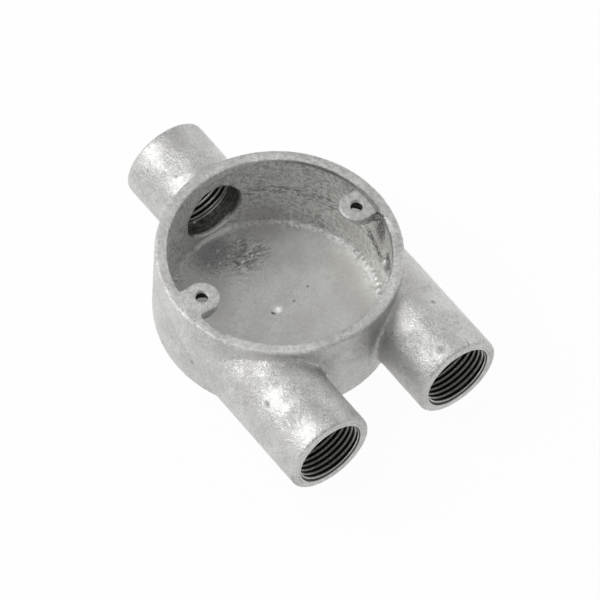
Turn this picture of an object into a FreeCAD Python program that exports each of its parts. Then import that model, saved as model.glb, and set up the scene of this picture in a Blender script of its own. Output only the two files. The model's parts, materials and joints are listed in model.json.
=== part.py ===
import FreeCAD, Part
import math
import os

from FreeCAD import Vector

# A round three-way conduit box: one iron casting with a chamber that is open at the top,
# one threaded spout at the back, two parallel threaded spouts at the front and two lugs
# for the lid's screws. The origin is the centre of the flat back face, under the chamber's
# axis. +Z points out of the open mouth and +Y along the spout at the back.

# Driving dimensions, in millimetres, with angles in degrees

RIM_RADIUS = 33.0            # outside of the wall, at the open mouth
RIM_WIDTH = 3.3              # flat annulus that carries the lid and its gasket
FLOOR_THICKNESS = 2.5
OUTER_DRAFT = 0.25           # the wall grows towards the back face by this taper
INNER_DRAFT = 1.5            # the chamber narrows towards its floor by this taper
BASE_ROUND = 5.0             # round between the back face and the wall
RIM_OUTER_EASE = 0.6         # chamfers of the rim's two edges
RIM_INNER_EASE = 0.4
FLOOR_EASE = 1.0             # bevel in the corner between the chamber's floor and its wall

CONDUIT_DIAMETER = 20.0      # outside diameter of the conduit's thread
THREAD_PITCH = 1.5
THREAD_DEPTH_RATIO = 1.0825  # minor diameter of an ISO internal thread, in pitches below the major
TAPPED_LENGTH = 17.0         # from the spout's end face
LEAD_IN = 0.65               # chamfer at the mouth of the tapped hole
STOP_SHOULDER = 0.39         # step that the conduit's end meets behind the thread

SPOUT_WALL = 2.45            # metal outside the thread
SPOUT_UNDERSIDE = 1.5        # height of the spouts over the back face
SPOUT_DROP = 2.8             # depth of the spouts' tops below the rim
FRONT_SPOUT_CENTRES = 41.8   # between the axes of the two parallel spouts
FRONT_PROJECTION = 18.4      # from the rim's outside to the end faces
BACK_PROJECTION = 18.0
SPOUT_END_EASE = 0.8         # chamfer round the end face
SPOUT_ROOT_SETBACK = 2.0     # from the chamber's axis to the pole of a spout's domed root
SPOUT_BLEND = 2.5            # concave round where a spout leaves the wall

LID_SCREW_CENTRES = 50.8
LUG_RADIUS = 4.9             # of the boss round each screw hole
LUG_NECK_WIDTH = 9.2         # between the boss and the wall
LUG_TIP_DEPTH = 1.8          # depth of the lug at its tip
LUG_ROOT_DEPTH = 4.6         # depth of the lug where it meets the wall
LUG_BLEND = 0.5              # upright round on each side of a lug, where it meets the wall
SCREW_HOLE_RADIUS = 1.65     # tapping size of the lid screws
SCREW_HOLE_CHAMFER = 0.35
PASSAGE_TO_MIDDLE = 10.5     # from the box's cross axis to the inner ends of the passages

DIMPLE_RADIUS = 1.4          # centre mark in the chamber's floor
DIMPLE_DEPTH = 0.9

CLEAR = 1.0                  # how far a cutting shape runs past the face it cuts

# Sizes that follow from those above

conduit_radius = CONDUIT_DIAMETER / 2
bore_radius = conduit_radius - THREAD_DEPTH_RATIO * THREAD_PITCH / 2
mouth_radius = bore_radius + LEAD_IN
passage_radius = bore_radius - STOP_SHOULDER
spout_radius = conduit_radius + SPOUT_WALL
spout_axis_z = SPOUT_UNDERSIDE + spout_radius
rim_z = spout_axis_z + spout_radius + SPOUT_DROP
front_spout_x = FRONT_SPOUT_CENTRES / 2
front_end = RIM_RADIUS + FRONT_PROJECTION
back_end = RIM_RADIUS + BACK_PROJECTION
base_radius = RIM_RADIUS + rim_z * math.tan(math.radians(OUTER_DRAFT))
chamber_mouth_radius = RIM_RADIUS - RIM_WIDTH
chamber_depth = rim_z - FLOOR_THICKNESS
chamber_floor_radius = chamber_mouth_radius - chamber_depth * math.tan(math.radians(INNER_DRAFT))
mid_wall_radius = RIM_RADIUS - RIM_WIDTH / 2
lug_x = LID_SCREW_CENTRES / 2

X_AXIS = Vector(1, 0, 0)
Y_AXIS = Vector(0, 1, 0)
Z_AXIS = Vector(0, 0, 1)


def line(start, end):
    return Part.LineSegment(start, end).toShape()


def closed_outline(points):
    """Straight edges from each point to the next, and from the last to the first."""
    return [line(start, end) for start, end in zip(points, points[1:] + points[:1])]


def round_corner(start, centre, end):
    """Quarter round from start to end about its centre."""
    radius = (start - centre).Length
    middle = (start - centre) + (end - centre)
    middle.normalize()
    return Part.Arc(start, centre + middle * radius, end).toShape()


def revolved(edges, base, axis):
    """Solid of a closed half section, turned about the axis that it touches."""
    return Part.Face(Part.Wire(edges)).revolve(base, axis, 360)


def body_blank():
    """Outside of the box: a drafted drum with a round base edge and an eased rim."""
    centre_back = Vector(0, 0, 0)
    base_flat = Vector(base_radius - BASE_ROUND, 0, 0)
    base_centre = Vector(base_radius - BASE_ROUND, 0, BASE_ROUND)
    wall_foot = Vector(base_radius, 0, BASE_ROUND)
    wall_head = Vector(RIM_RADIUS, 0, rim_z - RIM_OUTER_EASE)
    rim_edge = Vector(RIM_RADIUS - RIM_OUTER_EASE, 0, rim_z)
    centre_front = Vector(0, 0, rim_z)
    section = [
        line(centre_back, base_flat),
        round_corner(base_flat, base_centre, wall_foot),
        line(wall_foot, wall_head),
        line(wall_head, rim_edge),
        line(rim_edge, centre_front),
        line(centre_front, centre_back),
    ]
    return revolved(section, centre_back, Z_AXIS)


def spout_blank(x, end_y):
    """Outside of one spout: a cylinder along Y with an eased end and a domed root."""
    way = math.copysign(1, end_y)
    side = X_AXIS * spout_radius
    pole = Vector(x, way * SPOUT_ROOT_SETBACK, spout_axis_z)
    dome_centre = pole + Y_AXIS * (way * spout_radius)
    end_centre = Vector(x, end_y, spout_axis_z)
    shank_end = end_centre + side - Y_AXIS * (way * SPOUT_END_EASE)
    face_edge = end_centre + side - X_AXIS * SPOUT_END_EASE
    section = [
        round_corner(pole, dome_centre, dome_centre + side),
        line(dome_centre + side, shank_end),
        line(shank_end, face_edge),
        line(face_edge, end_centre),
        line(end_centre, pole),
    ]
    return revolved(section, pole, Y_AXIS)


def blended_outside():
    """The drum and its three spouts, with a concave round along each junction."""
    spouts = [spout_blank(x, end_y) for x, end_y in spout_places()]
    outside = body_blank().fuse(spouts)
    junctions = [edge for edge in outside.Edges if isinstance(edge.Curve, Part.BSplineCurve)]
    return outside.makeFillet(SPOUT_BLEND, junctions)


def spout_places():
    """Where each spout's axis lies, and where its end face is."""
    return [(-front_spout_x, -front_end), (front_spout_x, -front_end), (0, back_end)]


def chamber_space():
    """The hollow of the box, from its floor out past the rim."""
    slope = math.tan(math.radians(INNER_DRAFT))
    section_points = [
        Vector(0, 0, FLOOR_THICKNESS),
        Vector(chamber_floor_radius - FLOOR_EASE, 0, FLOOR_THICKNESS),
        Vector(chamber_floor_radius + slope * FLOOR_EASE, 0, FLOOR_THICKNESS + FLOOR_EASE),
        Vector(chamber_mouth_radius - slope * RIM_INNER_EASE, 0, rim_z - RIM_INNER_EASE),
        Vector(chamber_mouth_radius + RIM_INNER_EASE + CLEAR, 0, rim_z + CLEAR),
        Vector(0, 0, rim_z + CLEAR),
    ]
    return revolved(closed_outline(section_points), section_points[0], Z_AXIS)


def upright_block(low_x, high_x, half_width):
    """Block from the back face's level to the rim's, centred on the X axis."""
    corner = Vector(low_x, -half_width, 0)
    return Part.makeBox(high_x - low_x, 2 * half_width, rim_z, corner, Z_AXIS)


def upright_cylinder(x, y, radius):
    return Part.makeCylinder(radius, rim_z, Vector(x, y, 0), Z_AXIS)


def lug_column():
    """Plan form of the right-hand lug: a boss, its neck and a round into the wall on each side."""
    neck_half_width = LUG_NECK_WIDTH / 2
    blend_y = neck_half_width + LUG_BLEND
    blend_x = math.sqrt((chamber_mouth_radius - LUG_BLEND) ** 2 - blend_y ** 2)
    neck = upright_block(lug_x, mid_wall_radius, neck_half_width)
    flare = upright_block(blend_x, mid_wall_radius, blend_y)
    rounds = [upright_cylinder(blend_x, y, LUG_BLEND) for y in (-blend_y, blend_y)]
    return upright_cylinder(lug_x, 0, LUG_RADIUS).fuse([neck, flare.cut(rounds)])


def lug_on_the_right():
    """The lug in its depth: its underside slopes down from the tip to the wall."""
    tip_x = lug_x - LUG_RADIUS
    half_width = LUG_RADIUS + LUG_BLEND + CLEAR
    tip_z = rim_z - LUG_TIP_DEPTH
    root_z = rim_z - LUG_ROOT_DEPTH
    side = [
        Vector(tip_x - CLEAR, -half_width, rim_z),
        Vector(tip_x - CLEAR, -half_width, tip_z),
        Vector(tip_x, -half_width, tip_z),
        Vector(chamber_mouth_radius, -half_width, root_z),
        Vector(mid_wall_radius, -half_width, root_z),
        Vector(mid_wall_radius, -half_width, rim_z),
    ]
    side_face = Part.Face(Part.Wire(closed_outline(side)))
    return lug_column().common(side_face.extrude(Y_AXIS * (2 * half_width)))


def hollow_round_the_lugs():
    """The chamber's space less its two lugs."""
    right = lug_on_the_right()
    left = right.mirror(Vector(0, 0, 0), X_AXIS)
    return chamber_space().cut([right, left])


def bore_space(x, end_y):
    """One way in: lead-in, tapped hole and, past the stop, the passage to the chamber."""
    way = math.copysign(1, end_y)
    inner_y = way * PASSAGE_TO_MIDDLE
    stop_y = end_y - way * TAPPED_LENGTH
    chamfer_y = end_y - way * LEAD_IN
    outer_y = end_y + way * CLEAR
    section_points = [
        Vector(x, outer_y, spout_axis_z),
        Vector(x + mouth_radius + CLEAR, outer_y, spout_axis_z),
        Vector(x + bore_radius, chamfer_y, spout_axis_z),
        Vector(x + bore_radius, stop_y, spout_axis_z),
        Vector(x + passage_radius, stop_y, spout_axis_z),
        Vector(x + passage_radius, inner_y, spout_axis_z),
        Vector(x, inner_y, spout_axis_z),
    ]
    return revolved(closed_outline(section_points), section_points[0], Y_AXIS)


def screw_hole_space(x):
    """A lid screw's tapped hole, right through its lug, with an eased mouth."""
    bottom_z = rim_z - LUG_ROOT_DEPTH - CLEAR
    top_z = rim_z + CLEAR
    wide_radius = SCREW_HOLE_RADIUS + SCREW_HOLE_CHAMFER + CLEAR
    section_points = [
        Vector(x, 0, bottom_z),
        Vector(x + SCREW_HOLE_RADIUS, 0, bottom_z),
        Vector(x + SCREW_HOLE_RADIUS, 0, rim_z - SCREW_HOLE_CHAMFER),
        Vector(x + wide_radius, 0, top_z),
        Vector(x, 0, top_z),
    ]
    return revolved(closed_outline(section_points), section_points[0], Z_AXIS)


def dimple_space():
    """Ball that leaves the centre mark in the floor."""
    ball_radius = (DIMPLE_RADIUS ** 2 + DIMPLE_DEPTH ** 2) / (2 * DIMPLE_DEPTH)
    centre = Vector(0, 0, FLOOR_THICKNESS - DIMPLE_DEPTH + ball_radius)
    return Part.makeSphere(ball_radius, centre)


def branch_box_casting():
    """The whole casting, as it leaves the tapping machine."""
    spaces = [bore_space(x, end_y) for x, end_y in spout_places()]
    spaces.append(screw_hole_space(lug_x))
    spaces.append(screw_hole_space(-lug_x))
    spaces.append(dimple_space())
    return blended_outside().cut(hollow_round_the_lugs()).cut(spaces)


def main():
    os.makedirs("parts", exist_ok=True)
    casting = branch_box_casting()
    casting.exportStep("parts/branch_box_casting.step")
    print("solids", len(casting.Solids), "valid", casting.isValid(), "volume", round(casting.Volume, 1))


main()
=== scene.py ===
import json
import math

import bpy
from mathutils import Matrix, Vector


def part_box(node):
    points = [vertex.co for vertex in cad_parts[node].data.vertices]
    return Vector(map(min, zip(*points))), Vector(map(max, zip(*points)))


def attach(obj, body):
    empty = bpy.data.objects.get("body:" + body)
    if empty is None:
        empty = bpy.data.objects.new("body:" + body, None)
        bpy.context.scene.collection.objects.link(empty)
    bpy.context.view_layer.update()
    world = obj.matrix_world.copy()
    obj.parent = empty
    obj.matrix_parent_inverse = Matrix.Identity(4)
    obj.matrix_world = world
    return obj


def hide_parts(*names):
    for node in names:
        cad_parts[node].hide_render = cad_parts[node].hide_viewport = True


bl_info = {
    "name": "Conduit Branch Box",
    "version": (1, 0, 0),
    "blender": (4, 5, 0),
    "location": "3D View > Sidebar > Branch Box",
    "description": "A galvanised cast iron conduit box with three tapped spouts, on a plain stage",
    "category": "Add Mesh",
}

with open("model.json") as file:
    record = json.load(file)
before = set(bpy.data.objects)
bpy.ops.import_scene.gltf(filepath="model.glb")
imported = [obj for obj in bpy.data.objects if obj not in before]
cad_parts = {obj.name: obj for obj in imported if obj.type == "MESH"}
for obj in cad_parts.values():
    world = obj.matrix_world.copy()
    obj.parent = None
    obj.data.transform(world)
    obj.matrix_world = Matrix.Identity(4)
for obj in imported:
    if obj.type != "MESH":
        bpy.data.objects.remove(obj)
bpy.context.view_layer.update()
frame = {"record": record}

# The frame gives where the casting lies and where it is tapped and drilled, in metres.

CASTING = "branch_box_casting"
LOW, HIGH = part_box(CASTING)
MOUNTS = {mount["name"]: mount for mount in frame["record"]["mounts"]}
SPOUT_MOUNTS = [MOUNTS["conduit_entry_" + side] for side in ("back", "left", "right")]
LID_SCREWS = MOUNTS["lid_screws"]
MM = 0.001
RIM_Z = HIGH.z

# Rough places of the casting, seen on the real one. The places and sizes in the tables are in
# millimetres, and those in the floor have no height.

POCKET = Vector((27.9, 6.6, 24.0)) * MM           # beside the right lug, and mirrored to the other three
ROUGH_PATCH = Vector((3.5, 19.0)) * MM            # in the floor
PATCH_REACH = Vector((9.0, 7.0)) * MM
STAIN = Vector((-3.6, 24.0)) * MM                 # dark patch of the floor, at the back passage's foot
STAIN_REACH = Vector((8.0, 7.0)) * MM
SEAM_FOOT = 13.2                                  # level of the core's seam on the wall
# From the first y to the second the seam climbs by the third
SEAM_STEPS = (
    (-9.0, 1.0, 2.2),
    (14.0, 26.0, 1.2),
)
# Beads of zinc on the chamber's wall and their radii
BEADS = (
    ((28.2, 3.2, 3.0), 0.55),
    ((28.5, 1.1, 3.1), 0.6),
    ((28.6, -0.3, 3.1), 0.55),
    ((28.55, -2.0, 3.1), 0.45),
    ((28.2, -5.1, 3.5), 0.65),
    ((27.7, -6.8, 3.4), 0.9),
    ((27.1, -8.5, 3.5), 1.0),
    ((26.6, -10.0, 3.4), 1.05),
    ((25.8, -11.4, 2.9), 0.85),
    ((27.75, -11.05, 13.8), 1.3),
    ((27.7, -11.1, 12.3), 1.1),
    ((28.9, -11.2, 13.2), 1.3),
    ((28.4, 5.7, 3.2), 0.4),
    ((25.9, 12.4, 2.9), 0.35),
    ((-2.3, 33.9, 5.4), 0.55),
)
# Painted glints: specks of painted highlight in the rough patch
GLINTS = (
    ((7.7, 20.3), 0.55),
    ((9.9, 18.7), 0.4),
    ((5.9, 19.2), 0.4),
    ((4.8, 19.3), 0.5),
    ((6.9, 17.4), 0.4),
    ((5.3, 17.8), 0.4),
    ((2.1, 17.6), 0.55),
    ((0.1, 21.3), 0.3),
    ((5.2, 23.7), 0.45),
    ((-2.5, 12.8), 0.35),
    ((-0.2, 12.9), 0.45),
    ((-3.2, 20.7), 0.4),
    ((-6.3, 21.8), 0.4),
    ((-8.4, 18.3), 0.35),
    ((-5.2, 17.4), 0.4),
    ((-10.6, 19.6), 0.4),
    ((-1.4, 24.3), 0.4),
    ((-12.8, 15.9), 0.35),
)
# Faint stains: place, reach and whether warm or cool
TINTS = (
    ((29.2, -7.0, 20.5), 6.0, True),
    ((14.0, 24.5, 4.0), 8.0, True),
    ((-3.0, 25.0, 3.0), 8.0, False),
)
# Small dark marks and their reach
SMUDGES = (
    ((-6.1, 37.7, 24.7), 0.5),
    ((16.9, -47.8, 25.7), 1.0),
    ((24.7, -34.5, 25.7), 0.6),
    ((-29.2, -34.1, 23.2), 0.7),
    ((-32.5, -6.0, 12.0), 0.5),
    ((11.4, 1.1, 2.5), 0.35),
    ((5.5, -0.7, 2.5), 0.35),
)

MERGE = 1e-6          # vertices closer than this are one
ROUND_SIDES = 128     # sides of the large round forms
BORE_SIDES = 96       # sides of the conduit's bores and threads
SCREW_SIDES = 32      # sides of the lid screws' holes
LUG_SIDES = 64        # sides of a lug's boss
SMOOTH_UNDER = math.radians(38)  # edges that turn less than this are shaded smooth
DOME_SHARE = 0.995    # share of a spout's radius that the round of its root takes
PASSAGE_END_X = 26.0  # x in millimetres past which the front passages' inner ends are softened
RUN_INSET = 0.1 * MM  # how far the run of zinc lies inside the wall's radius
RUN_TOP = 7.0 * MM    # how far under the spout's axis the run of zinc begins
TAP_EXTRA = 2 * MM    # length of tap beyond its thread
SLEEVE_CLEAR = 0.3 * MM  # between a thread's major radius and its tap's sleeve
CONE_LAP = 0.02 * MM  # by which a tap's lead-in cone reaches into its thread
BEAD_SHINE = 0.85     # share of fresh zinc in a bead's colour
WORN_ELSEWHERE = 0.25  # strength of the pits away from the right front wall


def length(name, text, default):
    """A size, given in millimetres and kept in metres."""
    return bpy.props.FloatProperty(
        name=name, description=text, default=default * MM, min=0.0, precision=5,
        subtype="DISTANCE", unit="LENGTH",
    )


def share(name, text, default):
    return bpy.props.FloatProperty(name=name, description=text, default=default, min=0.0, soft_max=1.0)


def angle(name, text, default):
    return bpy.props.FloatProperty(
        name=name, description=text, default=math.radians(default), subtype="ANGLE", unit="ROTATION"
    )


def watts(name, text, default):
    return bpy.props.FloatProperty(name=name, description=text, default=default, min=0.0, unit="POWER")


def colour(name, text, default):
    return bpy.props.FloatVectorProperty(
        name=name, description=text, default=default, size=3, min=0.0, max=1.0, subtype="COLOR"
    )


class BoxSizes(bpy.types.PropertyGroup):
    rim_radius: length("Rim radius", "Outside of the wall at the open mouth", 33.0)
    rim_width: length("Rim width", "Flat ring that carries the lid", 3.3)
    rim_ease: length("Rim edge", "Round of the rim's outer edge", 0.6)
    mouth_ease: length("Mouth edge", "Bevel of the rim's inner edge", 0.15)
    floor: length("Floor", "Thickness of the floor", 2.5)
    base_round: length("Base round", "Round between the back face and the wall", 5.0)
    outer_draft: angle("Outer draft", "Taper of the wall's outside towards the rim", 0.25)
    inner_draft: angle("Inner draft", "Taper of the chamber towards its floor", 1.5)
    floor_round: length("Floor corner", "Round between the floor and the chamber's wall", 1.0)
    spout_radius: length("Spout radius", "Outside of a spout", 12.45)
    spout_end_round: length("Spout end", "Round of a spout's outer edge", 0.8)
    spout_root: length("Spout root", "From the chamber's axis to a spout's domed root", 2.0)
    spout_blend: length("Spout blend", "Reach of the soft corner where a spout meets the wall", 3.4)
    passage_radius: length("Passage", "Cored hole behind a spout's thread", 8.798)
    lug_radius: length("Lug radius", "Round end of a lid lug", 4.8)
    lug_neck: length("Lug neck", "Width of a lug between its round end and the wall", 9.2)
    lug_tip_depth: length("Lug tip", "Depth of a lug at its tip", 1.8)
    lug_root_depth: length("Lug root", "Depth of a lug at the wall", 4.6)
    passage_to_middle: length("Passage end", "From the cross axis to a passage's inner end", 10.5)
    dimple_radius: length("Dimple radius", "Centre mark in the floor", 1.6)
    dimple_depth: length("Dimple depth", "Depth of the centre mark", 1.0)
    zinc_lip: length("Zinc lip", "Thickness of the run of zinc on the back passage", 0.55)


class ThreadSizes(bpy.types.PropertyGroup):
    conduit_major: length("Conduit thread", "Major radius of the conduit's thread", 10.0)
    conduit_pitch: length("Conduit pitch", "Pitch of the conduit's thread", 1.5)
    conduit_depth: length("Tapped length", "Threaded depth from a spout's end face", 17.0)
    conduit_lead: length("Mouth lead-in", "Chamfer at a spout's mouth", 0.65)
    screw_major: length("Screw thread", "Major radius of the lid screws' thread", 2.0)
    screw_pitch: length("Screw pitch", "Pitch of the lid screws' thread", 0.7)
    screw_lead: length("Screw lead-in", "Chamfer at a screw hole's mouth", 0.35)


class SkinSettings(bpy.types.PropertyGroup):
    voxel: length("Skin cell", "Cell of the cast skin's mesh before it is thinned", 0.45)
    triangles: bpy.props.IntProperty(
        name="Triangles", description="Triangles that the thinned skin keeps", default=168000, min=1000
    )
    swell_size: length("Swell size", "Size of the casting's slow waves", 13.0)
    swell: length("Swell", "Height of the casting's slow waves", 0.06)
    grain_size: length("Grain size", "Size of the sand's grain", 1.5)
    grain: length("Grain", "Height of the sand's grain", 0.13)
    bead_size: length("Bead size", "Size of the zinc's lumps in the floor's corner", 1.3)
    bead: length("Bead", "Height of the zinc's lumps in the floor's corner", 0.5)
    scab_size: length("Scab size", "Size of the lumps and pits at the seam and the lugs", 1.7)
    scab: length("Scab", "Height of those lumps and pits", 0.9)


class ZincFinish(bpy.types.PropertyGroup):
    light: colour("Bright zinc", "Colour of the zinc's bright patches", (0.85, 0.855, 0.83))
    dark: colour("Dull zinc", "Colour of the zinc's dull patches", (0.41, 0.415, 0.4))
    warm: colour("Warm zinc", "Tint of the patches where the zinc took up iron", (0.60, 0.56, 0.545))
    cool: colour("Cool zinc", "Tint of the floor at the back passage's foot", (0.52, 0.51, 0.55))
    # The fresh zinc colour serves the real beads, and also the painted highlights on the floor's glints,
    # the back passage's lip, the front passages' ends and the centre mark
    fresh_zinc_and_highlight: colour("Fresh zinc", "Colour of beads and specks of clean zinc", (0.96, 0.96, 0.95))
    # The soot colour serves real pits and smudges, and also painted shade in crevices, the lugs'
    # pockets, the back passage and the centre mark
    soot_and_shade: colour("Soot", "Colour in pits, crevices and smudges", (0.05, 0.048, 0.044))
    # The thread root colour is near black: partly oil on the cut roots, partly painted shade in the
    # bores and the lugs' holes
    root: colour("Thread root", "Colour of the oiled roots of the threads", (0.04, 0.04, 0.036))
    crest: colour("Thread crest", "Colour of the cut crests of the threads", (0.85, 0.85, 0.82))
    metallic: share("Metallic", "How metallic the zinc is", 0.74)
    gloss: share("Smoothest", "Roughness of the bright patches", 0.33)
    matt: share("Roughest", "Roughness of the dull patches", 0.6)
    bump: share("Bump", "Strength of the fine relief", 0.6)


class StageSettings(bpy.types.PropertyGroup):
    azimuth: angle("Camera azimuth", "Turn of the camera round the box", -39.813)
    elevation: angle("Camera elevation", "Height of the camera over the horizon", 54.85)
    roll: angle("Camera roll", "Roll of the camera about its line of sight", 3.758)
    distance: length("Camera distance", "From the camera to the middle of the back face", 1941.6)
    slide_right: length("Slide right", "How far the camera stands right of that line", 6.463)
    slide_up: length("Slide up", "How far the camera stands over that line", 3.846)
    lens: bpy.props.FloatProperty(
        name="Focal length", description="Focal length in millimetres", default=437.25, min=1.0,
        subtype="DISTANCE_CAMERA", unit="CAMERA",
    )
    floor: colour("Floor", "Colour of the floor", (0.9, 0.9, 0.9))
    floor_glow: share("Floor glow", "How much of the floor is plain white to the camera", 0.96)
    key_power: watts("Key light", "Power of the large lamp in watts", 8.1)
    side_power: watts("Side light", "Power of the lamp on the right in watts", 2.7)
    sky: share("Sky", "Strength of the even light from all round", 0.41)


def only(piece):
    """Makes this piece the only selected one, and the active one."""
    bpy.ops.object.select_all(action="DESELECT")
    piece.select_set(True)
    bpy.context.view_layer.objects.active = piece
    return piece


def pick(piece, test):
    """Opens the piece in edit mode with the vertices selected whose place passes the test."""
    only(piece)
    bpy.ops.object.mode_set(mode="EDIT")
    bpy.ops.mesh.select_mode(type="VERT")
    bpy.ops.mesh.select_all(action="DESELECT")
    close_edit()
    for vertex in piece.data.vertices:
        vertex.select = test(vertex.co)
    bpy.ops.object.mode_set(mode="EDIT")


def close_edit():
    bpy.ops.object.mode_set(mode="OBJECT")


def pick_ring(piece, z):
    """Opens the piece in edit mode with the ring of vertices at this height selected."""
    pick(piece, lambda place: abs(place.z - z) < MERGE)


def settle(piece):
    """Puts the object at the origin, unturned and unscaled, with its place in its mesh."""
    only(piece)
    bpy.ops.object.transform_apply(location=True, rotation=True, scale=True)
    return piece


def added(operator, **settings):
    """What a primitive's operator adds with these settings, settled."""
    bpy.ops.object.select_all(action="DESELECT")
    operator(**settings)
    return settle(bpy.context.object)


def cylinder(radius, low_z, high_z, sides, name):
    """A closed cylinder round the Z axis."""
    made = added(bpy.ops.mesh.primitive_cylinder_add, vertices=sides, radius=radius,
                 depth=high_z - low_z, location=(0, 0, (low_z + high_z) / 2))
    made.name = name
    return made


def scale_ring(piece, z, factor):
    """Scales the ring of vertices at this height about the Z axis."""
    pick_ring(piece, z)
    bpy.ops.transform.resize(value=(factor, factor, 1), center_override=(0, 0, z))
    close_edit()


def bevel_ring(piece, z, reach, segments):
    """Rounds the edge ring at this height."""
    pick_ring(piece, z)
    bpy.ops.mesh.bevel(offset=reach, segments=segments, affect="EDGES")
    close_edit()


def extend_cap(piece, z, rise, factor):
    """Extrudes the cap at this height by the rise and scales its new ring."""
    pick_ring(piece, z)
    bpy.ops.mesh.extrude_region_move(TRANSFORM_OT_translate={"value": (0, 0, rise)})
    bpy.ops.transform.resize(value=(factor, factor, 1), center_override=(0, 0, z + rise))
    close_edit()


def modify(piece, kind, **settings):
    """Adds a modifier with these settings and applies it."""
    only(piece)
    bpy.ops.object.modifier_add(type=kind)
    modifier = piece.modifiers[-1]
    for name, value in settings.items():
        setattr(modifier, name, value)
    bpy.ops.object.modifier_apply(modifier=modifier.name)
    return piece


def combine(piece, tool, operation):
    """Joins, cuts or intersects the piece with a tool, which is used up."""
    modify(piece, "BOOLEAN", operation=operation, object=tool, solver="MANIFOLD")
    bpy.data.objects.remove(tool)
    return piece


def copy_of(piece):
    """A copy with its own mesh."""
    only(piece)
    bpy.ops.object.duplicate()
    return bpy.context.object


def turned(piece, place, axis):
    """Stands a piece that was made along +Z at this place along this axis."""
    turn = Vector(axis).to_track_quat("Z", "Y").to_matrix().to_4x4()
    piece.matrix_world = Matrix.Translation(place) @ turn
    return settle(piece)


def spout_ends():
    """Where the middle of each spout's end face is, and which way it looks."""
    ends = []
    for mount in SPOUT_MOUNTS:
        place, axis = Vector(mount["pos_m"]), Vector(mount["axis"])
        end_y = HIGH.y if axis.y > 0 else LOW.y
        ends.append((Vector((place.x, end_y, place.z)), axis))
    return ends


def drum(sizes):
    """Outside of the box, a little wider at its foot than at its rim."""
    foot_radius = sizes.rim_radius + math.tan(sizes.outer_draft) * (RIM_Z - LOW.z)
    made = cylinder(foot_radius, LOW.z, RIM_Z, ROUND_SIDES, "drum")
    scale_ring(made, RIM_Z, sizes.rim_radius / foot_radius)
    bevel_ring(made, RIM_Z, sizes.rim_ease, 3)
    bevel_ring(made, LOW.z, sizes.base_round, 10)
    return made


def spout(sizes, end, axis):
    """Outside of one spout, from its domed root inside the drum to its rounded end."""
    reach = abs(end.y) - sizes.spout_root
    made = cylinder(sizes.spout_radius, -reach, 0, ROUND_SIDES, "spout")
    bevel_ring(made, 0, sizes.spout_end_round, 4)
    bevel_ring(made, -reach, sizes.spout_radius * DOME_SHARE, 16)
    return turned(made, end, axis)


def chamber_core(sizes):
    """The chamber's hollow, as a solid that runs out past the rim."""
    floor_z = sizes.floor
    slope = math.tan(sizes.inner_draft)
    mouth_radius = sizes.rim_radius - sizes.rim_width
    edge_z = RIM_Z - sizes.mouth_ease
    edge_radius = mouth_radius - slope * sizes.mouth_ease
    floor_radius = mouth_radius - slope * (RIM_Z - floor_z)
    made = cylinder(edge_radius, floor_z, edge_z, ROUND_SIDES, "chamber_core")
    scale_ring(made, floor_z, floor_radius / edge_radius)
    flare = (mouth_radius + sizes.mouth_ease) / edge_radius
    extend_cap(made, edge_z, sizes.mouth_ease, flare)
    extend_cap(made, RIM_Z, MM, 1.0)
    bevel_ring(made, floor_z, sizes.floor_round, 3)
    return made


def lug(sizes, side):
    """A lid lug: a round boss with a narrower neck into the wall, sloping underneath."""
    centre_x = LID_SCREWS["dims"]["spacing_x_mm"] * MM / 2
    wall_x = sizes.rim_radius - sizes.rim_width / 2
    mouth_x = sizes.rim_radius - sizes.rim_width
    tip_x = centre_x - sizes.lug_radius
    low_z = RIM_Z - sizes.lug_root_depth
    made = cylinder(sizes.lug_radius, low_z, RIM_Z, LUG_SIDES, "lug")
    made.location.x = centre_x
    settle(made)
    neck = added(bpy.ops.mesh.primitive_cube_add, size=1,
                 location=((centre_x + wall_x) / 2, 0, (low_z + RIM_Z) / 2),
                 scale=(wall_x - centre_x, sizes.lug_neck, RIM_Z - low_z))
    combine(made, neck, "UNION")
    tip = Vector((tip_x, 0, RIM_Z - sizes.lug_tip_depth))
    along = Vector((mouth_x, 0, low_z)) - tip
    under = Vector((along.z, 0, -along.x))
    pick(made, lambda place: True)
    bpy.ops.mesh.bisect(plane_co=tip, plane_no=under, use_fill=True, clear_outer=True,
                        threshold=MERGE / 10)
    close_edit()
    if side < 0:
        made.rotation_euler.z = math.pi
        settle(made)
    return made


def passage_core(sizes, end, axis):
    """The cored hole of one spout, from outside its end into the chamber."""
    inner_z = sizes.passage_to_middle - abs(end.y)
    made = cylinder(sizes.passage_radius, inner_z, MM, BORE_SIDES, "passage_core")
    return turned(made, end, axis)


def rough_casting(sizes):
    """The casting as it leaves the mould, with crisp edges and plain faces."""
    casting = drum(sizes)
    for end, axis in spout_ends():
        combine(casting, spout(sizes, end, axis), "UNION")
    core = chamber_core(sizes)
    for side in (1, -1):
        combine(core, lug(sizes, side), "DIFFERENCE")
    combine(casting, core, "DIFFERENCE")
    for end, axis in spout_ends():
        combine(casting, passage_core(sizes, end, axis), "DIFFERENCE")
    return casting


def soft_step(value):
    """0 below 0, 1 above 1, and smooth between them."""
    inside = min(1.0, max(0.0, value))
    return inside * inside * (3 - 2 * inside)


def weigh(piece, name, weight_of):
    """A vertex group whose weights a function gives from each vertex's place."""
    group = piece.vertex_groups.new(name=name)
    for vertex in piece.data.vertices:
        weight = weight_of(vertex.co)
        if weight > 0:
            group.add([vertex.index], weight, "REPLACE")
    return name


def from_spout(sizes, place, end, axis):
    """Distance from a spout's outside, its domed root included."""
    dome_y = axis.y * (sizes.spout_root + sizes.spout_radius)
    past_dome = max(0.0, (dome_y - place.y) * axis.y)
    across = math.hypot(place.x - end.x, place.z - end.z)
    return abs(math.hypot(across, past_dome) - sizes.spout_radius)


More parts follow.
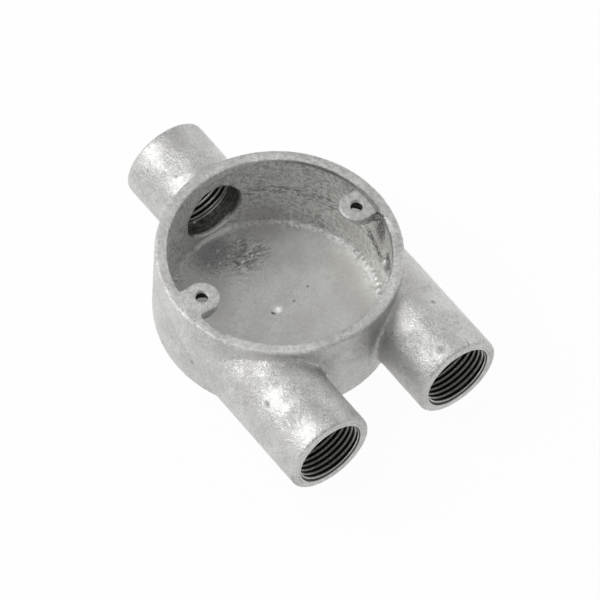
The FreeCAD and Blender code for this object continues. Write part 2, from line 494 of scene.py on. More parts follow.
def junction_weight(sizes, place):
    """1 in the corner between a spout and the wall's outside and at the front passages' inner ends."""
    from_wall = abs(math.hypot(place.x, place.y) - sizes.rim_radius)
    if math.hypot(place.x, place.y) < sizes.rim_radius - sizes.rim_width * 0.6:
        past_end = abs(place.y + sizes.passage_to_middle) / (3.5 * MM)
        return soft_step(1.5 * (1 - past_end)) * soft_step(abs(place.x) / MM - PASSAGE_END_X)
    nearest = min(from_spout(sizes, place, end, axis) for end, axis in spout_ends())
    apart = math.hypot(from_wall, nearest) / sizes.spout_blend
    under_rim = soft_step((RIM_Z - place.z - 1.0 * MM) / (1.5 * MM))
    return soft_step(1.35 * (1 - apart)) * under_rim


def skin_weight(sizes, place):
    """How much of the cast roughness a place has: less on the floor, the rim and the spouts' ends,
    and none on the back face."""
    within = math.hypot(place.x, place.y) < wall_radius(sizes, place.z)
    if within and abs(place.z - sizes.floor) < 1.0 * MM:
        return 0.35
    on_rim = soft_step((RIM_Z - place.z) / (0.8 * MM))
    on_back = soft_step((place.z - LOW.z) / (1.5 * MM) - 0.2)
    on_front_end = soft_step((place.y - LOW.y) / (1.0 * MM))
    on_back_end = soft_step((HIGH.y - place.y) / (1.0 * MM))
    return (0.3 + 0.7 * min(on_rim, on_front_end, on_back_end)) * on_back


def wall_radius(sizes, z):
    """Radius of the chamber's wall at this height."""
    return sizes.rim_radius - sizes.rim_width - math.tan(sizes.inner_draft) * (RIM_Z - z)


def corner_weight(sizes, place):
    """1 along the corner between the chamber's floor and its wall."""
    across = math.hypot(place.x, place.y) - (wall_radius(sizes, sizes.floor) - 0.5 * MM)
    above = place.z - (sizes.floor + 0.4 * MM)
    return soft_step(1.3 * (1 - math.hypot(across, above) / (1.8 * MM)))


def seam_weight(sizes, place):
    """1 along the core's seam, which runs round the wall near the level of the spouts' axes."""
    level = SEAM_FOOT * MM
    for start, end, climb in SEAM_STEPS:
        level += climb * MM * soft_step((place.y / MM - start) / (end - start))
    from_wall = math.hypot(place.x, place.y) - wall_radius(sizes, place.z)
    return soft_step(1.4 * (1 - math.hypot(from_wall, place.z - level) / (1.6 * MM)))


def pocket_weight(place):
    """1 in the narrow pockets beside the lugs, where the iron is pitted."""
    away = Vector((abs(place.x), abs(place.y), place.z)) - POCKET
    return soft_step(1.5 * (1 - math.hypot(away.x, away.y, away.z * 0.6) / (3.2 * MM)))


def patch_weight(sizes, place):
    """1 in the rough patch of the floor in front of the back spout's passage."""
    across = (place.x - ROUGH_PATCH.x) / PATCH_REACH.x
    along = (place.y - ROUGH_PATCH.y) / PATCH_REACH.y
    on_floor = soft_step(1 - abs(place.z - sizes.floor) / (0.8 * MM))
    return soft_step(1.5 * (1 - math.hypot(across, along))) * on_floor


def scab_weight(sizes, place):
    """How pitted and lumpy a place is."""
    return max(seam_weight(sizes, place), pocket_weight(place), 0.5 * patch_weight(sizes, place))


def texture(name, kind, **settings):
    made = bpy.data.textures.new(name, type=kind)
    for key, value in settings.items():
        setattr(made, key, value)
    return made


def cast_skin(casting, sizes, skin):
    """Gives the rough casting the soft corners and the uneven skin of a galvanised casting."""
    modify(casting, "REMESH", mode="VOXEL", voxel_size=skin.voxel, adaptivity=0.0)
    modify(casting, "SMOOTH", factor=0.5, iterations=1)
    blend = weigh(casting, "blend", lambda place: junction_weight(sizes, place))
    modify(casting, "SMOOTH", factor=0.5, iterations=45, vertex_group=blend)
    roughness = weigh(casting, "skin", lambda place: skin_weight(sizes, place))
    corner = weigh(casting, "corner", lambda place: corner_weight(sizes, place))
    scabs = weigh(casting, "scabs", lambda place: scab_weight(sizes, place))
    hard = {"noise_depth": 2, "noise_type": "HARD_NOISE"}
    swell = texture("swell", "CLOUDS", noise_scale=skin.swell_size, noise_depth=1)
    grain = texture("grain", "CLOUDS", noise_scale=skin.grain_size, **hard)
    beads = texture("beads", "VORONOI", noise_scale=skin.bead_size)
    lumps = texture("lumps", "CLOUDS", noise_scale=skin.scab_size, **hard)
    for relief, height, middle, where in (
        (swell, skin.swell, 0.6, roughness),
        (grain, skin.grain, 0.6, roughness),
        (beads, -skin.bead, 0.6, corner),
        (lumps, skin.scab, 0.5, scabs),
    ):
        modify(casting, "DISPLACE", texture=relief, strength=height, mid_level=middle,
               vertex_group=where, direction="NORMAL", texture_coords="LOCAL")
    casting.vertex_groups.clear()
    modify(casting, "DECIMATE", ratio=skin.triangles / (2 * len(casting.data.polygons)))
    return casting


def zinc_beads(casting):
    """Joins the largest beads of zinc to the casting, as balls half sunk in its wall."""
    beads = None
    for centre, radius in BEADS:
        bead = added(bpy.ops.mesh.primitive_uv_sphere_add, segments=20, ring_count=12,
                     radius=radius * MM, location=Vector(centre) * MM)
        beads = combine(beads, bead, "UNION") if beads else bead
    combine(casting, beads, "UNION")


def zinc_run(casting, sizes):
    """Joins a run of zinc to the lower edge of the back spout's passage."""
    end, axis = spout_ends()[0]
    wall = wall_radius(sizes, end.z - sizes.passage_radius)
    run = added(bpy.ops.mesh.primitive_torus_add, major_radius=sizes.passage_radius,
                minor_radius=sizes.zinc_lip, major_segments=BORE_SIDES, minor_segments=12)
    turned(run, Vector((end.x, wall - RUN_INSET, end.z)), axis)
    pick(run, lambda place: True)
    bpy.ops.mesh.bisect(plane_co=(0, 0, end.z - RUN_TOP), plane_no=(0, 0, 1),
                        use_fill=True, clear_outer=True)
    close_edit()
    combine(casting, run, "UNION")


def draw_line(points, name):
    """A chain of edges through these points, extruded from one vertex."""
    made = added(bpy.ops.mesh.primitive_plane_add, size=MM, location=points[0])
    made.name = name
    bpy.ops.object.mode_set(mode="EDIT")
    bpy.ops.mesh.select_all(action="SELECT")
    bpy.ops.mesh.merge(type="CENTER")
    for start, end in zip(points, points[1:]):
        bpy.ops.mesh.extrude_region_move(TRANSFORM_OT_translate={"value": Vector(end) - Vector(start)})
    close_edit()
    return made


def close_end(piece, test):
    """Closes an open end with a fan to its middle."""
    only(piece)
    bpy.ops.object.mode_set(mode="EDIT")
    bpy.ops.mesh.select_mode(type="VERT")
    bpy.ops.mesh.select_all(action="DESELECT")
    bpy.ops.mesh.select_non_manifold(extend=False, use_wire=False, use_multi_face=False,
                                     use_non_contiguous=False, use_verts=False)
    close_edit()
    for vertex in piece.data.vertices:
        vertex.select = vertex.select and test(vertex.co)
    for edge in piece.data.edges:
        edge.select = edge.select and all(piece.data.vertices[i].select for i in edge.vertices)
    bpy.ops.object.mode_set(mode="EDIT")
    bpy.ops.mesh.extrude_edges_move()
    bpy.ops.mesh.merge(type="CENTER")
    close_edit()


def tap(minor, major, pitch, depth, lead, nose, sides):
    """A tap along +Z, with the face that it enters at z 0: threads, tapered nose and lead-in cone."""
    crest = major - minor
    turns = math.ceil((depth + TAP_EXTRA) / pitch) + 3
    start_z = -depth - 2 * pitch
    profile = [
        (minor, 0, start_z),
        (minor, 0, start_z + pitch / 4),
        (minor + crest, 0, start_z + pitch * 9 / 16),
        (minor + crest, 0, start_z + pitch * 11 / 16),
        (minor, 0, start_z + pitch),
    ]
    threads = draw_line(profile, "threads")
    modify(threads, "SCREW", axis="Z", angle=2 * math.pi, screw_offset=pitch, iterations=turns,
           steps=sides, render_steps=sides, use_merge_vertices=False)
    pick(threads, lambda place: True)
    bpy.ops.mesh.remove_doubles(threshold=MERGE)
    close_edit()
    middle_z = start_z + turns * pitch / 2
    close_end(threads, lambda place: place.z < middle_z)
    close_end(threads, lambda place: place.z > middle_z)
    pick(threads, lambda place: True)
    bpy.ops.mesh.normals_make_consistent(inside=False)
    close_edit()
    sleeve_radius = major + SLEEVE_CLEAR
    sleeve = cylinder(sleeve_radius, nose - depth, MM, sides, "sleeve")
    extend_cap(sleeve, nose - depth, -nose, minor / sleeve_radius)
    combine(threads, sleeve, "INTERSECT")
    cone = added(bpy.ops.mesh.primitive_cone_add, vertices=sides,
                 radius1=minor - CONE_LAP, radius2=minor + lead + MM,
                 depth=lead + MM + CONE_LAP, location=(0, 0, (MM - lead - CONE_LAP) / 2))
    combine(threads, cone, "UNION")
    return threads


def tap_spouts(casting, threads):
    minor = SPOUT_MOUNTS[0]["dims"]["r_mm"] * MM
    nose = 2 * threads.conduit_pitch
    tool = tap(minor, threads.conduit_major, threads.conduit_pitch, threads.conduit_depth,
               threads.conduit_lead, nose, BORE_SIDES)
    for end, axis in spout_ends():
        combine(casting, turned(copy_of(tool), end, axis), "DIFFERENCE")
    bpy.data.objects.remove(tool)


def tap_lugs(casting, sizes, threads):
    dims = LID_SCREWS["dims"]
    depth = sizes.lug_root_depth + 3 * MM
    tool = tap(dims["hole_r_mm"] * MM, threads.screw_major, threads.screw_pitch, depth,
               threads.screw_lead, threads.screw_pitch, SCREW_SIDES)
    for side in (1, -1):
        place = Vector((side * dims["spacing_x_mm"] * MM / 2, 0, RIM_Z))
        combine(casting, turned(copy_of(tool), place, (0, 0, 1)), "DIFFERENCE")
    bpy.data.objects.remove(tool)


def mark_centre(casting, sizes):
    """Presses the centre mark into the floor with a ball."""
    reach, depth = sizes.dimple_radius, sizes.dimple_depth
    ball = (reach * reach + depth * depth) / (2 * depth)
    punch = added(bpy.ops.mesh.primitive_uv_sphere_add, segments=48, ring_count=32,
                  radius=ball, location=(0, 0, sizes.floor - depth + ball))
    combine(casting, punch, "DIFFERENCE")


class Wire:
    """A shader socket that Python's operators work on."""

    def __init__(self, shader, socket):
        self.shader = shader
        self.socket = socket

    def meets(self, operation, first, second):
        made = self.shader.node("Math", {"operation": operation}, {0: first, 1: second})
        return Wire(self.shader, made.outputs[0])

    def __add__(self, other):
        return self.meets("ADD", self, other)

    __radd__ = __add__

    def __sub__(self, other):
        return self.meets("SUBTRACT", self, other)

    def __mul__(self, other):
        return self.meets("MULTIPLY", self, other)

    __rmul__ = __mul__

    def __truediv__(self, other):
        return self.meets("DIVIDE", self, other)

    def __rsub__(self, other):
        return self.meets("SUBTRACT", other, self)

    def __pow__(self, other):
        return self.meets("POWER", self, other)

    def __abs__(self):
        return self.meets("ABSOLUTE", self, 0.0)

    def ramp(self, low, high):
        """0 at low, 1 at high, smooth between them."""
        settings = {"interpolation_type": "SMOOTHSTEP"}
        values = {"Value": self, "From Min": low, "From Max": high}
        return self.shader.out("MapRange", "Result", settings, values)


class Shader:
    """The nodes of one material or of the world."""

    def __init__(self, owner):
        owner.use_nodes = True
        self.tree = owner.node_tree
        self.tree.nodes.clear()

    def node(self, kind, settings=None, values=None):
        """A node of this kind, with its settings and then its sockets' values or links."""
        made = self.tree.nodes.new("ShaderNode" + kind)
        for name, value in (settings or {}).items():
            setattr(made, name, value)
        for name, value in (values or {}).items():
            self.feed(made.inputs[name], value)
        return made

    def feed(self, socket, value):
        """Links a wire to the socket, or sets the socket's own value."""
        if isinstance(value, Wire):
            self.tree.links.new(value.socket, socket)
        else:
            socket.default_value = value

    def out(self, kind, output, settings=None, values=None):
        return Wire(self, self.node(kind, settings, values).outputs[output])

    def blend(self, factor, first, second):
        """A mix of two colours, each a tuple or a wire."""
        made = self.node("Mix", {"data_type": "RGBA"})
        for name, value in {"Factor": factor, "A": first, "B": second}.items():
            self.feed(next(s for s in made.inputs if s.name == name and s.enabled), value)
        return Wire(self, next(s for s in made.outputs if s.enabled))


def most(first, *others):
    """The largest of some wires."""
    for other in others:
        first = first.meets("MAXIMUM", first, other)
    return first


def opaque(colour_value):
    return (*colour_value, 1.0)


class Site:
    """Where a point of the surface is, in millimetres from the box's origin, and main levels."""

    def __init__(self, shader, sizes):
        self.shader = shader
        metres = shader.out("TexCoord", "Object")
        scaled = {"Vector": metres, "Scale": 1 / MM}
        self.place = shader.out("VectorMath", "Vector", {"operation": "SCALE"}, scaled)
        split = shader.node("SeparateXYZ", None, {"Vector": self.place})
        self.across, self.along, self.height = (Wire(shader, socket) for socket in split.outputs)
        self.sideways = abs(self.across)
        self.lengthways = abs(self.along)
        self.from_middle = self.reach(self.across, self.along)
        self.floor = sizes.floor / MM
        self.foot = wall_radius(sizes, sizes.floor) / MM
        self.rim = RIM_Z / MM

    def reach(self, first, second):
        return (first * first + second * second) ** 0.5

    def noise(self, scale, detail=2.0, roughness=0.5, factors=None):
        """Noise of this scale, pressed or drawn out along each axis by its factor."""
        place = self.place
        if factors:
            values = {0: place, 1: factors}
            place = self.shader.out("VectorMath", "Vector", {"operation": "MULTIPLY"}, values)
        values = {"Vector": place, "Scale": scale, "Detail": detail, "Roughness": roughness}
        return self.shader.out("TexNoise", "Fac", None, values)

    def cells(self, scale):
        """Distance from the middle of the nearest cell of a pattern of this scale."""
        values = {"Vector": self.place, "Scale": scale}
        return self.shader.out("TexVoronoi", "Distance", None, values)

    def from_back_axis(self):
        """Distance from the axis of the back spout."""
        end = spout_ends()[0][0]
        return self.reach(self.across, self.height - end.z / MM)

    def from_spout_axis(self):
        """Distance from the axis of the nearest spout, and height over it."""
        end = spout_ends()[1][0]
        level = self.height - end.z / MM
        off_front = abs(self.sideways - abs(end.x) / MM)
        behind = self.along.ramp(-1.0, 1.0)
        return self.reach(off_front + (self.sideways - off_front) * behind, level), level

    def from_spot(self, centre, reach):
        """Distance from the middle of a spot of the floor, as a share of the spot's reach."""
        aside = (self.across - centre.x / MM) / (reach.x / MM)
        ahead = (self.along - centre.y / MM) / (reach.y / MM)
        return self.reach(aside, ahead)

    def near(self, centre, reach, edge):
        """1 within the reach of a point, and 0 past the edge round it."""
        values = {0: self.place, 1: centre}
        away = self.shader.out("VectorMath", "Value", {"operation": "DISTANCE"}, values)
        return away.ramp(reach + edge, reach)

    def band(self, value, middle, half):
        """1 in the middle of a band, 0 outside it."""
        return abs(value - middle).ramp(half, half * 0.3)


def thread_masks(site, threads):
    """One mask for the tapped length of the spouts and one for the crests of their threads."""
    end = spout_ends()[1][0]
    radius = site.from_spout_axis()[0]
    inner_end = (abs(end.y) - threads.conduit_depth) / MM
    outer_end = abs(end.y) / MM - 0.2
    tapped = site.lengthways.ramp(inner_end - 0.6, inner_end - 0.4)
    tapped = tapped * site.lengthways.ramp(outer_end + 0.15, outer_end)
    major = threads.conduit_major / MM
    minor = SPOUT_MOUNTS[0]["dims"]["r_mm"]
    bore = tapped * radius.ramp(major + 0.25, major + 0.15)
    return bore, bore * radius.ramp(minor + 0.36, minor + 0.08)


def screw_hole_shade(site, sizes, threads):
    """Painted shade: 1 inside the lugs' tapped holes, under their lead-in."""
    centre = LID_SCREWS["dims"]["spacing_x_mm"] / 2
    from_hole = site.reach(site.sideways - centre, site.along)
    major = threads.screw_major / MM
    deep = (RIM_Z - threads.screw_lead) / MM
    wide = from_hole.ramp(major + 0.2, major + 0.1)
    under = (RIM_Z - sizes.lug_root_depth) / MM
    wide = wide * site.height.ramp(under - 1.0, under)
    return wide * site.height.ramp(deep - 0.2, deep - 0.8)


def chamber_masks(site):
    """The floor's corner, the core's seam, the lugs' pockets, the rough patch and the stain."""
    corner = site.band(site.from_middle, site.foot - 0.3, 1.8)
    corner = corner * site.band(site.height, site.floor + 0.3, 1.9)
    inside = site.from_middle.ramp(site.foot + 2.0, site.foot + 1.2)
    level = SEAM_FOOT + site.noise(0.35) - 0.5
    for start, end, climb in SEAM_STEPS:
        level = level + site.along.ramp(start, end) * climb
    seam = site.band(site.height, level, 2.7) * inside
    seam = seam * site.from_middle.ramp(site.foot - 1.5, site.foot - 0.5)
    aside = site.reach(site.sideways - POCKET.x / MM, site.lengthways - POCKET.y / MM)
    pocket = site.reach(aside, (site.height - POCKET.z / MM) * 0.45).ramp(3.9, 1.3)
    patch = site.from_spot(ROUGH_PATCH, PATCH_REACH).ramp(1.1, 0.4)
    patch = patch * site.height.ramp(site.floor + 1.2, site.floor + 0.6)
    stain = site.from_spot(STAIN, STAIN_REACH).ramp(1.2, 0.5)
    stain = stain * site.height.ramp(site.floor + 1.6, site.floor + 0.8)
    return corner, seam, pocket, patch, stain


def passage_shade_of(site, sizes):
    """Painted shade: 1 in the cored passage behind the back spout's thread."""
    wide = sizes.passage_radius / MM
    within = site.from_back_axis().ramp(wide + 0.8, wide + 0.3)
    return within * site.along.ramp(28.4, 29.6)


def painted_glints_of(site, floor):
    """1 on the painted glints of the floor's rough patch, which are drawn out sideways."""
    glints = []
    for (across, along), reach in GLINTS:
        aside = (site.across - across) * 0.6
        off = site.reach(aside, site.along - along - aside * 0.3)
        glints.append(off.ramp(reach * 1.1, reach * 0.4) * floor)
    return most(*glints)


def beads_of(site):
    """How bright the beads of zinc on the chamber's wall are, and 0 elsewhere."""
    beads = [site.near(centre, radius * 0.9, radius * 0.3) * BEAD_SHINE for centre, radius in BEADS]
    return most(*beads)


def smudges_of(site, speckle):
    """How dark the small marks are, broken up by the speckle, and 0 elsewhere."""
    strength = speckle * 0.4 + 0.3
    return most(*(site.near(centre, reach * 0.4, reach * 1.4) * strength
                              for centre, reach in SMUDGES))


def lip_highlight_of(site, sizes):
    """Painted highlight: 1 along the lower lip of the back spout's passage and the floor's corner at its
    foot.
    """
    wander = (site.noise(0.5, 1.0) - 0.5) * 0.8
    edge = site.band(site.from_back_axis() + wander * 0.5, sizes.passage_radius / MM, 1.0)
    edge = edge * site.along.ramp(28.0, 28.4)
    foot = site.band(site.from_middle + wander, site.foot - 0.3, 0.8)
    foot = foot * site.height.ramp(site.floor + 1.2, site.floor + 0.8)
    sides = site.across.ramp(-7.0, -5.0) * site.across.ramp(7.5, 4.5)
    sides = sides * site.along.ramp(30.0, 29.5) * site.along.ramp(23.0, 25.0)
    return most(edge, foot) * sides * site.height.ramp(9.0, 7.0)


def passage_end_light(site, sizes):
    """Painted light: 1 on the narrow faces where the front passages end in the chamber's wall."""
    across = site.sideways.ramp(26.8, 27.6) * site.from_middle.ramp(31.5, 30.8)
    along = site.band(site.along, -sizes.passage_to_middle / MM - 0.3, 1.8)
    return across * along * site.height.ramp(6.5, 8.5) * site.height.ramp(16.5, 15.5)


def inside_chamber(site, sizes):
    """1 on the chamber's wall and floor and on the rim's flat."""
    wall = (sizes.rim_radius - sizes.rim_width) / MM
    within = site.from_middle.ramp(wall + 0.8, wall + 0.3)
    return most(within, site.height.ramp(site.rim - 0.9, site.rim - 0.4))


def lip_arcs(site, sizes, threads):
    """Thin dark arcs round the spouts' mouths, and the shade of their faces' lower edges."""
    end_y = abs(spout_ends()[1][0].y) / MM
    radius, level = site.from_spout_axis()
    face = site.lengthways.ramp(end_y - 1.3, end_y - 0.9)
    wander = (site.noise(0.12, 1.0) - 0.5) * 1.6
    major = threads.conduit_major / MM
    outer_arc = site.band(radius + wander, major + 1.4, 0.3) * 0.6
    arcs = most(site.band(radius + wander, major + 0.5, 0.3), outer_arc)
    outer = radius.ramp(sizes.spout_radius / MM - 0.9, sizes.spout_radius / MM)
    return most(arcs * 0.5, outer * level.ramp(2.0, -7.0)) * face * 0.45


def painted_shade_places(site):
    """Painted shade: how much darker the zinc is drawn between the front spouts, on the rim and on the
    drum's left side.
    """
    right = site.across.ramp(12.0, 24.0)
    between = site.sideways.ramp(14.0, 8.0) * site.along.ramp(-22.0, -30.0)
    edge = site.band(site.from_middle, 29.4, 1.1) * site.height.ramp(27.4, 28.4)
    rim = site.height.ramp(28.5, 28.9) * site.along.ramp(-26.0, -14.0)
    left = site.across.ramp(-25.0, -31.0) * site.along.ramp(-22.0, -12.0)
    return most(between * 0.2, edge * right * 0.6, rim * (0.1 + right * 0.08), left * 0.05)


def plain_floor(site):
    """1 on the chamber's floor, away from its corner."""
    under = site.height.ramp(site.floor + 1.2, site.floor + 0.6)
    over = site.height.ramp(site.floor - 1.2, site.floor - 0.6)
    return under * over * site.from_middle.ramp(site.foot - 1.5, site.foot - 4.0)


def zinc(finish, sizes, threads):
    """Hot-dip zinc on rough cast iron: bright and dull patches, pits, beads and cut threads."""
    made = bpy.data.materials.new("galvanised_iron")
    shader = Shader(made)
    site = Site(shader, sizes)
    corner, seam, pocket, patch, stain = chamber_masks(site)
    floor = plain_floor(site)
    plain = floor * (1 - most(patch, stain))
    front_seam = seam * site.along.ramp(3.0, 0.5)
    back_seam = seam - front_seam
    inner = inside_chamber(site, sizes)
    wall = inner * site.height.ramp(site.floor + 0.8, site.floor + 2.0)
    wall = wall * site.height.ramp(site.rim - 0.3, site.rim - 0.9)
    # Painted shade inside the back spout's cored passage
    passage = passage_shade_of(site, sizes)
    bore, crest = thread_masks(site, threads)
    strokes = site.noise(0.9, 2.0, 0.6, (0.6, 1.7, 1.7)).ramp(0.35, 0.65)
    layers = site.noise(0.8, 2.0, 0.6, (0.45, 0.45, 2.2)).ramp(0.35, 0.65)
    patches = site.noise(0.11, 4.0, 0.6).ramp(0.35, 0.65)
    frosted = site.noise(0.16, 2.0, 0.5).ramp(0.42, 0.6)
    frosted = most(frosted, corner, seam, pocket, patch, stain)
    mottle = site.noise(0.9, 3.0, 0.6).ramp(0.3, 0.7)
    speckle = site.noise(2.4, 2.0, 0.6).ramp(0.3, 0.7)
    worn = site.across.ramp(5.0, 15.0) * site.along.ramp(0.5, -2.0)
    worn = worn * (1 - WORN_ELSEWHERE) + WORN_ELSEWHERE
    clumps = site.noise(0.5, 1.0).ramp(0.42, 0.5)
    clumps = most(clumps, most(front_seam, pocket) * worn)
    pits = site.cells(1.25).ramp(0.5, 0.25) * clumps
    pitted = (front_seam + pocket) * worn * 1.5 + back_seam * 0.5 + (patch + corner) * 0.3
    pits = pits.meets("MINIMUM", pits * pitted, 1.0)
    # Painted highlights on the floor's glints, the back passage's lip and the front passages' ends,
    # together with the real beads of fresh zinc
    bright = most(painted_glints_of(site, floor), beads_of(site), lip_highlight_of(site, sizes))
    bright = most(bright, passage_end_light(site, sizes) * 0.7)
    # Painted highlight over the centre mark, with painted shade on its lower left side
    dimple = site.near((0.0, 0.0, site.floor - 0.5), sizes.dimple_radius / MM, 0.3)
    dimple_shade = site.near((-1.2, -0.5, site.floor - 0.4), 0.35, 0.75)
    smudges = smudges_of(site, speckle)
    grain = mottle * 0.6 + speckle * 0.4
    contrast = (0.25 + frosted * 0.3 + inner * 0.5 + wall * 0.6 + stain * 1.4) * (1 - plain * 0.7)
    light = patches * 0.25 + 0.38 + (grain - 0.5) * contrast + inner * 0.2 + stain * 0.35
    light = light + plain * 0.15 + (strokes - 0.5) * patch * 0.9
    light = light + (layers - 0.5) * (back_seam * 1.8 + wall * 0.3)
    # The floor's corner is drawn lighter: a painted highlight along its round
    light = light + corner * 0.2 + (speckle - 0.5) * (stain * 0.8 + (1 - inner) * 0.3)
    tone = shader.blend(light, opaque(finish.dark), opaque(finish.light))
    warmth = site.noise(0.07, 2.0).ramp(0.5, 0.7) * 0.4
    tone = shader.blend(warmth, tone, opaque(finish.warm))
    for centre, reach, is_warm in TINTS:
        tint = opaque(finish.warm if is_warm else finish.cool)
        stained = site.near(centre, reach * 0.3, reach * 0.7) * (0.3 + mottle * 0.5)
        tone = shader.blend(stained, tone, tint)
    # Painted shade in the lugs' pockets, the back passage, the spouts' lower edges, between the front
    # spouts and on the rim, mixed with the real marks of the patch, the stain and the seam
    grime_and_shade = most(
        pocket * worn * (0.5 - grain * 0.35),
        (1 - strokes) * patch * 0.2,
        stain * (1 - grain) * 0.2,
        front_seam * worn * 0.3,
        lip_arcs(site, sizes, threads),
        painted_shade_places(site),
        passage * (1 - grain * 0.5),
    )
    tone = shader.blend(grime_and_shade, tone, opaque(finish.soot_and_shade))
    tone = shader.blend(most(smudges, pits * 0.9), tone, opaque(finish.soot_and_shade))
    tone = shader.blend(most(bright, dimple), tone, opaque(finish.fresh_zinc_and_highlight))
    tone = shader.blend(dimple_shade * 0.9, tone, opaque(finish.soot_and_shade))
    # Cut crests in their metal's colour; the near-black roots between them are partly painted shade
    cut = shader.blend(crest * (0.55 + speckle * 0.45), opaque(finish.root), opaque(finish.crest))
    tone = shader.blend(bore, tone, cut)
    # Painted shade inside the lugs' tapped holes
    tone = shader.blend(screw_hole_shade(site, sizes, threads), tone, opaque(finish.root))
    polish = (0.68 + patches * 0.12 + (grain - 0.5) * 0.3 - inner * 0.3) * (1 - dimple)
    rough = finish.matt - (finish.matt - finish.gloss) * most(polish, bright)
    relief = (mottle * 0.6 + speckle * 1.2) * (0.25 + frosted * 0.25 + stain * 0.35) * (1 - plain * 0.7)
    relief = relief + strokes * patch * 0.8 + layers * (back_seam + wall * 0.3)
    relief = (relief - pits * 1.1 - smudges * 0.4 + bright * 0.5) * (1 - dimple)
    bump = shader.out("Bump", "Normal", None,
                      {"Strength": finish.bump, "Distance": 0.3 * MM, "Height": relief * (1 - bore)})
    values = {"Base Color": tone, "Roughness": rough, "Metallic": finish.metallic, "Normal": bump}
    surface = shader.out("BsdfPrincipled", "BSDF", None, values)
    shader.node("OutputMaterial", None, {"Surface": surface})
    return made


def seen_through(shader):
    """1 where the camera, a mirror or clear glass looks straight at the stage, 0 for its light."""
    rays = ("Is Camera Ray", "Is Glossy Ray", "Is Transmission Ray")
    return most(*(shader.out("LightPath", ray) for ray in rays))


def stage_floor(stage):
    """A wide pale floor that stays near white around the box and keeps its shadow."""
    made = added(bpy.ops.mesh.primitive_plane_add, size=6.0, location=(0, 0, 0))
    made.name = "stage_floor"
    finish = bpy.data.materials.new("stage_floor")
    shader = Shader(finish)
    diffuse = shader.out("BsdfDiffuse", "BSDF", None, {"Color": opaque(stage.floor)})
    white = shader.out("Emission", "Emission", None, {"Color": (1, 1, 1, 1), "Strength": 1.0})
    mixed = shader.out("MixShader", "Shader", None,
                       {0: seen_through(shader) * stage.floor_glow, 1: diffuse, 2: white})
    shader.node("OutputMaterial", None, {"Surface": mixed})
    made.data.materials.append(finish)


def stage_sky(stage):
    """Even light from all round, with a white background behind the floor's edge."""
    world = bpy.data.worlds.new("stage_sky")
    bpy.context.scene.world = world
    shader = Shader(world)
    camera = shader.out("LightPath", "Is Camera Ray")
    strength = stage.sky + camera * (1 - stage.sky)
    background = shader.out("Background", "Background", None,
                            {"Color": (1, 1, 1, 1), "Strength": strength})
    shader.node("OutputWorld", None, {"Surface": background})


def lamp(name, towards, reach, wide, high, power):
    """A soft rectangular lamp that stands in this direction and looks at the box."""
    direction = Vector(towards).normalized()
    bpy.ops.object.select_all(action="DESELECT")
    bpy.ops.object.light_add(type="AREA", location=direction * reach)
    made = bpy.context.object
    made.name = name
    made.rotation_euler = direction.to_track_quat("Z", "Y").to_euler()
    made.data.shape = "RECTANGLE"
    made.data.size = wide
    made.data.size_y = high
    made.data.energy = power
    return made


def stage_camera(stage):
    """The photograph's view: a long lens, from the front left and above."""
    azimuth, elevation = stage.azimuth, stage.elevation
    right = Vector((math.cos(azimuth), math.sin(azimuth), 0))
    back = Vector((math.sin(azimuth) * math.cos(elevation),
                   -math.cos(azimuth) * math.cos(elevation),
                   math.sin(elevation)))
    up = back.cross(right)
    rolled_right = math.cos(stage.roll) * right + math.sin(stage.roll) * up
    rolled_up = math.cos(stage.roll) * up - math.sin(stage.roll) * right
    place = stage.distance * back + stage.slide_right * rolled_right + stage.slide_up * rolled_up
    bpy.ops.object.select_all(action="DESELECT")
    bpy.ops.object.camera_add(location=place)
    made = bpy.context.object
    made.name = "stage_camera"
    turn = Matrix((rolled_right, rolled_up, back)).transposed()
    made.rotation_euler = turn.to_euler()
    made.data.lens = stage.lens
    made.data.clip_end = 3 * stage.distance
    bpy.context.scene.camera = made


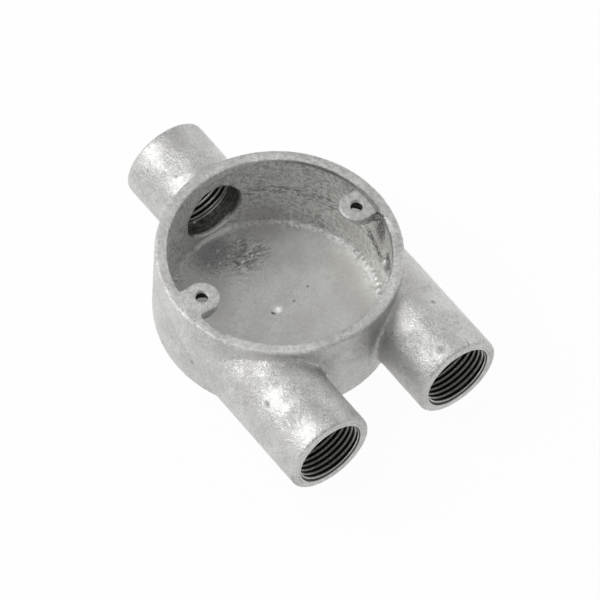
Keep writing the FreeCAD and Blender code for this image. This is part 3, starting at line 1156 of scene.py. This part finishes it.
class BRANCHBOX_OT_casting(bpy.types.Operator):
    """Models the casting: cast, given its skin, tapped and dressed in zinc"""

    bl_idname = "branch_box.casting"
    bl_label = "Casting"
    bl_options = {"REGISTER", "UNDO"}

    def execute(self, context):
        scene = context.scene
        sizes, threads = scene.box_sizes, scene.box_threads
        casting = rough_casting(sizes)
        cast_skin(casting, sizes, scene.box_skin)
        zinc_beads(casting)
        zinc_run(casting, sizes)
        tap_spouts(casting, threads)
        tap_lugs(casting, sizes, threads)
        mark_centre(casting, sizes)
        casting.name = "galvanised_casting"
        only(casting)
        bpy.ops.object.shade_smooth_by_angle(angle=SMOOTH_UNDER)
        casting.data.materials.clear()
        casting.data.materials.append(zinc(scene.box_finish, sizes, threads))
        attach(casting, "root")
        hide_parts(CASTING)
        return {"FINISHED"}


class BRANCHBOX_OT_stage(bpy.types.Operator):
    """Sets a pale floor, soft lamps, an even sky and the camera"""

    bl_idname = "branch_box.stage"
    bl_label = "Stage"
    bl_options = {"REGISTER", "UNDO"}

    def execute(self, context):
        stage = context.scene.box_stage
        stage_floor(stage)
        stage_sky(stage)
        lamp("key_light", (-0.52, 0.44, 0.73), 1.2, 0.9, 0.9, stage.key_power)
        lamp("side_light", (0.95, 0.1, 0.5), 1.3, 0.9, 0.7, stage.side_power)
        stage_camera(stage)
        context.scene.view_settings.view_transform = "Standard"
        return {"FINISHED"}


class BRANCHBOX_PT_panel(bpy.types.Panel):
    """Lists the steps that make the box and its stage, with their settings"""

    bl_idname = "BRANCHBOX_PT_panel"
    bl_label = "Branch Box"
    bl_space_type = "VIEW_3D"
    bl_region_type = "UI"
    bl_category = "Branch Box"

    def draw(self, context):
        scene = context.scene
        casting = (scene.box_sizes, scene.box_threads, scene.box_skin, scene.box_finish)
        steps = {BRANCHBOX_OT_casting: casting, BRANCHBOX_OT_stage: (scene.box_stage,)}
        for step, groups in steps.items():
            box = self.layout.box()
            box.operator(step.bl_idname)
            for group in groups:
                for name in group.__annotations__:
                    box.prop(group, name)


GROUPS = {
    "box_sizes": BoxSizes,
    "box_threads": ThreadSizes,
    "box_skin": SkinSettings,
    "box_finish": ZincFinish,
    "box_stage": StageSettings,
}
CLASSES = (*GROUPS.values(), BRANCHBOX_OT_casting, BRANCHBOX_OT_stage, BRANCHBOX_PT_panel)


def register():
    for each in CLASSES:
        bpy.utils.register_class(each)
    for name, group in GROUPS.items():
        setattr(bpy.types.Scene, name, bpy.props.PointerProperty(type=group))


def unregister():
    for name in GROUPS:
        delattr(bpy.types.Scene, name)
    for each in reversed(CLASSES):
        bpy.utils.unregister_class(each)


def main():
    register()
    bpy.ops.branch_box.casting()
    bpy.ops.branch_box.stage()


if __name__ == "__main__":
    main()
